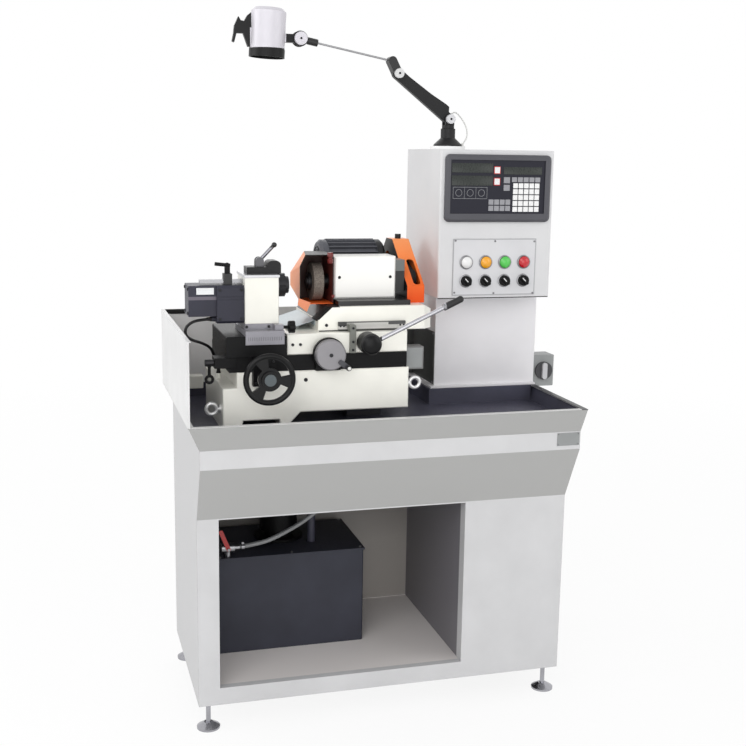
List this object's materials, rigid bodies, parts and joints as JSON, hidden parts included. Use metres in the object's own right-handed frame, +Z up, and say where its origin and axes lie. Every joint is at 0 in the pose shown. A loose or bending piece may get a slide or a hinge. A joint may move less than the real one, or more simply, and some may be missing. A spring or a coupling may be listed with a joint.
{
  "type": "cylindrical grinding machine",
  "caption": "Small cylindrical grinder with workhead, wheel slide and lever traverse, on a sheet-metal cabinet with drip tray, control column, readout, coolant tank and work lamp",
  "frame": {"origin": "on the floor under the middle of the whole machine", "axes": "+X to the operator's right, +Y to the back, +Z up"},
  "size_m": [1.066, 0.569, 1.7698],
  "materials": {
    "cabinet_grey": "light grey powder coat",
    "pan_dark": "dark grey coating",
    "foot_chrome": "polished plating",
    "box_white": "pale grey powder coat",
    "readout_case": "grey case",
    "plate_silver": "brushed sheet",
    "lens_clear": "coloured lenses",
    "black_plastic": "moulded black",
    "grey_plastic": "moulded grey",
    "red_plastic": "dipped red",
    "cream_paint": "cream machine enamel",
    "black_paint": "black machine enamel",
    "white_paint": "white machine enamel",
    "grey_iron": "ground grey iron",
    "steel": "ground steel",
    "slate_paint": "slate enamel",
    "motor_grey": "dark grey enamel",
    "orange_paint": "orange enamel",
    "abrasive": "bonded abrasive",
    "belt_rubber": "moulded rubber",
    "hose_grey": "smooth hose",
    "cable_black": "smooth jacket",
    "cord_white": "smooth white jacket",
    "lamp_silver": "satin aluminium",
    "lamp_black": "moulded black",
    "tank_slate": "dark slate coating"
  },
  "bodies": {
    "stand": {"cabinet": "cabinet_grey", "tray": "cabinet_grey", "drip_pan": "pan_dark", "splash_guard": "cabinet_grey", "levelling_feet": "foot_chrome", "column": "box_white", "control_box": "box_white", "readout_console": "readout_case", "control_plate": "plate_silver", "pilot_lights": "lens_clear", "isolator_box": "grey_plastic", "bed": "cream_paint", "way_base": "black_paint", "lifting_eyebolts": "steel", "coolant_tank": "tank_slate", "coolant_pump": "motor_grey", "coolant_valve": "steel", "coolant_hose": "hose_grey", "lamp_base": "lamp_black"},
    "selector_1": {"selector_knob_1": "black_plastic"},
    "selector_2": {"selector_knob_2": "black_plastic"},
    "selector_3": {"selector_knob_3": "black_plastic"},
    "selector_4": {"selector_knob_4": "black_plastic"},
    "isolator": {"isolator_knob": "black_plastic"},
    "valve": {"valve_lever": "red_plastic"},
    "table": {"work_table": "black_paint", "swivel_base": "grey_iron", "workhead": "cream_paint", "work_motor": "slate_paint", "collet_closer": "black_paint", "motor_cable": "cable_black", "toggle_clamp": "steel"},
    "work": {"work_spindle": "steel", "work_chuck": "steel"},
    "collet": {"collet_lever": "steel"},
    "toggle": {"toggle_handle": "black_plastic"},
    "swivel_lock": {"swivel_knob": "black_plastic"},
    "feed": {"feed_handwheel": "black_plastic", "feed_screw": "steel"},
    "clamp": {"table_clamp_lever": "steel"},
    "saddle": {"saddle": "cream_paint", "reader_bracket": "steel"},
    "dial": {"graduated_dial": "steel", "cross_screw": "steel"},
    "slide": {"wheel_slide": "cream_paint", "linear_scale": "lamp_silver", "wheelhead": "white_paint", "wheel_motor": "motor_grey", "belt_cover": "orange_paint", "wheel_guard": "orange_paint", "drive_belt": "belt_rubber"},
    "lever": {"slide_lever": "steel"},
    "wheel": {"grinding_wheel": "abrasive", "wheel_spindle": "steel"},
    "rotor": {"motor_pulley": "steel"},
    "lamp_turret": {"lamp_turret": "lamp_black", "lamp_cord": "cord_white"},
    "lamp_lower": {"lamp_lower_arm": "lamp_black"},
    "lamp_upper": {"lamp_upper_arm": "lamp_silver"},
    "lamp_head": {"lamp_head": "lamp_silver"}
  },
  "joints": [
    {"name": "selector_turn_1", "type": "hinge", "parent": "stand", "child": "selector_1", "pos_m": [0.228, -0.0205, 1.096], "axis": [0, 1, 0], "range_deg": [0, 90]},
    {"name": "selector_turn_2", "type": "hinge", "parent": "stand", "child": "selector_2", "pos_m": [0.2819, -0.0205, 1.096], "axis": [0, 1, 0], "range_deg": [0, 90]},
    {"name": "selector_turn_3", "type": "hinge", "parent": "stand", "child": "selector_3", "pos_m": [0.3358, -0.0205, 1.096], "axis": [0, 1, 0], "range_deg": [0, 90]},
    {"name": "selector_turn_4", "type": "hinge", "parent": "stand", "child": "selector_4", "pos_m": [0.3897, -0.0205, 1.096], "axis": [0, 1, 0], "range_deg": [0, 90]},
    {"name": "isolator_turn", "type": "hinge", "parent": "stand", "child": "isolator", "pos_m": [0.5, 0.0675, 0.832], "axis": [0, 1, 0], "range_deg": [0, 90]},
    {"name": "valve_turn", "type": "hinge", "parent": "stand", "child": "valve", "pos_m": [-0.399, 0.001, 0.402], "axis": [0, 1, 0], "range_deg": [-68, 0]},
    {"name": "table_feed", "type": "slide", "parent": "stand", "child": "table", "axis": [0, 1, 0], "range_m": [-0.03, 0.03]},
    {"name": "feed_turn", "type": "hinge", "parent": "stand", "child": "feed", "pos_m": [-0.336, -0.24, 0.896], "axis": [0, 1, 0], "range_deg": [-2700.5, 2700.5]},
    {"name": "clamp_swing", "type": "hinge", "parent": "stand", "child": "clamp", "pos_m": [-0.453, -0.14467, 0.9235], "axis": [1, 0, 0], "range_deg": [-70, 70]},
    {"name": "saddle_feed", "type": "slide", "parent": "stand", "child": "saddle", "axis": [0, 1, 0], "range_m": [-0.015, 0.015]},
    {"name": "dial_turn", "type": "hinge", "parent": "stand", "child": "dial", "pos_m": [-0.177, -0.1983, 0.941], "axis": [0, 1, 0], "range_deg": [-1800.5, 1800.5]},
    {"name": "slide_stroke", "type": "slide", "parent": "saddle", "child": "slide", "axis": [1, 0, 0], "range_m": [-0.02, 0.02]},
    {"name": "lever_swing", "type": "hinge", "parent": "saddle", "child": "lever", "pos_m": [-0.076, -0.188, 0.964], "axis": [0, 1, 0], "range_deg": [-57.4, 57.4]},
    {"name": "wheel_spin", "type": "hinge", "parent": "slide", "child": "wheel", "pos_m": [-0.186, -0.005, 1.1], "axis": [1, 0, 0], "continuous": true},
    {"name": "rotor_spin", "type": "hinge", "parent": "slide", "child": "rotor", "pos_m": [0.064, 0.11, 1.139], "axis": [1, 0, 0], "continuous": true},
    {"name": "work_spin", "type": "hinge", "parent": "table", "child": "work", "pos_m": [-0.285, -0.074, 1.1], "axis": [1, 0, 0], "continuous": true},
    {"name": "collet_swing", "type": "hinge", "parent": "table", "child": "collet", "pos_m": [-0.33, -0.074, 1.159], "axis": [0, 1, 0], "range_deg": [-80, 0]},
    {"name": "toggle_swing", "type": "hinge", "parent": "table", "child": "toggle", "pos_m": [-0.41, -0.086, 1.124], "axis": [0, 1, 0], "range_deg": [0, 60]},
    {"name": "swivel_lock_turn", "type": "hinge", "parent": "table", "child": "swivel_lock", "pos_m": [-0.286, -0.15, 1.006], "axis": [1, 0, 0], "range_deg": [-120, 120]},
    {"name": "lamp_swivel", "type": "hinge", "parent": "stand", "child": "lamp_turret", "pos_m": [0.196, 0.0595, 1.488], "axis": [0, 0, 1], "range_deg": [-70, 70]},
    {"name": "lamp_shoulder", "type": "hinge", "parent": "lamp_turret", "child": "lamp_lower", "pos_m": [0.196, 0.0595, 1.5123], "axis": [0, 1, 0], "range_deg": [-20, 35]},
    {"name": "lamp_elbow", "type": "hinge", "parent": "lamp_lower", "child": "lamp_upper", "pos_m": [0.05416, 0.0595, 1.62312], "axis": [0, 1, 0], "range_deg": [-30, 25]},
    {"name": "lamp_tilt", "type": "hinge", "parent": "lamp_upper", "child": "lamp_head", "pos_m": [-0.20184, 0.0595, 1.69862], "axis": [0, 1, 0], "range_deg": [-35, 35]}
  ],
  "couplings": [
    {"joint": "feed_turn", "follows": "table_feed", "rad_per_m": 1570.8},
    {"joint": "dial_turn", "follows": "saddle_feed", "rad_per_m": 2094.4},
    {"joint": "lever_swing", "follows": "slide_stroke", "rad_per_m": 50},
    {"joint": "rotor_spin", "follows": "wheel_spin", "ratio": 0.8}
  ]
}
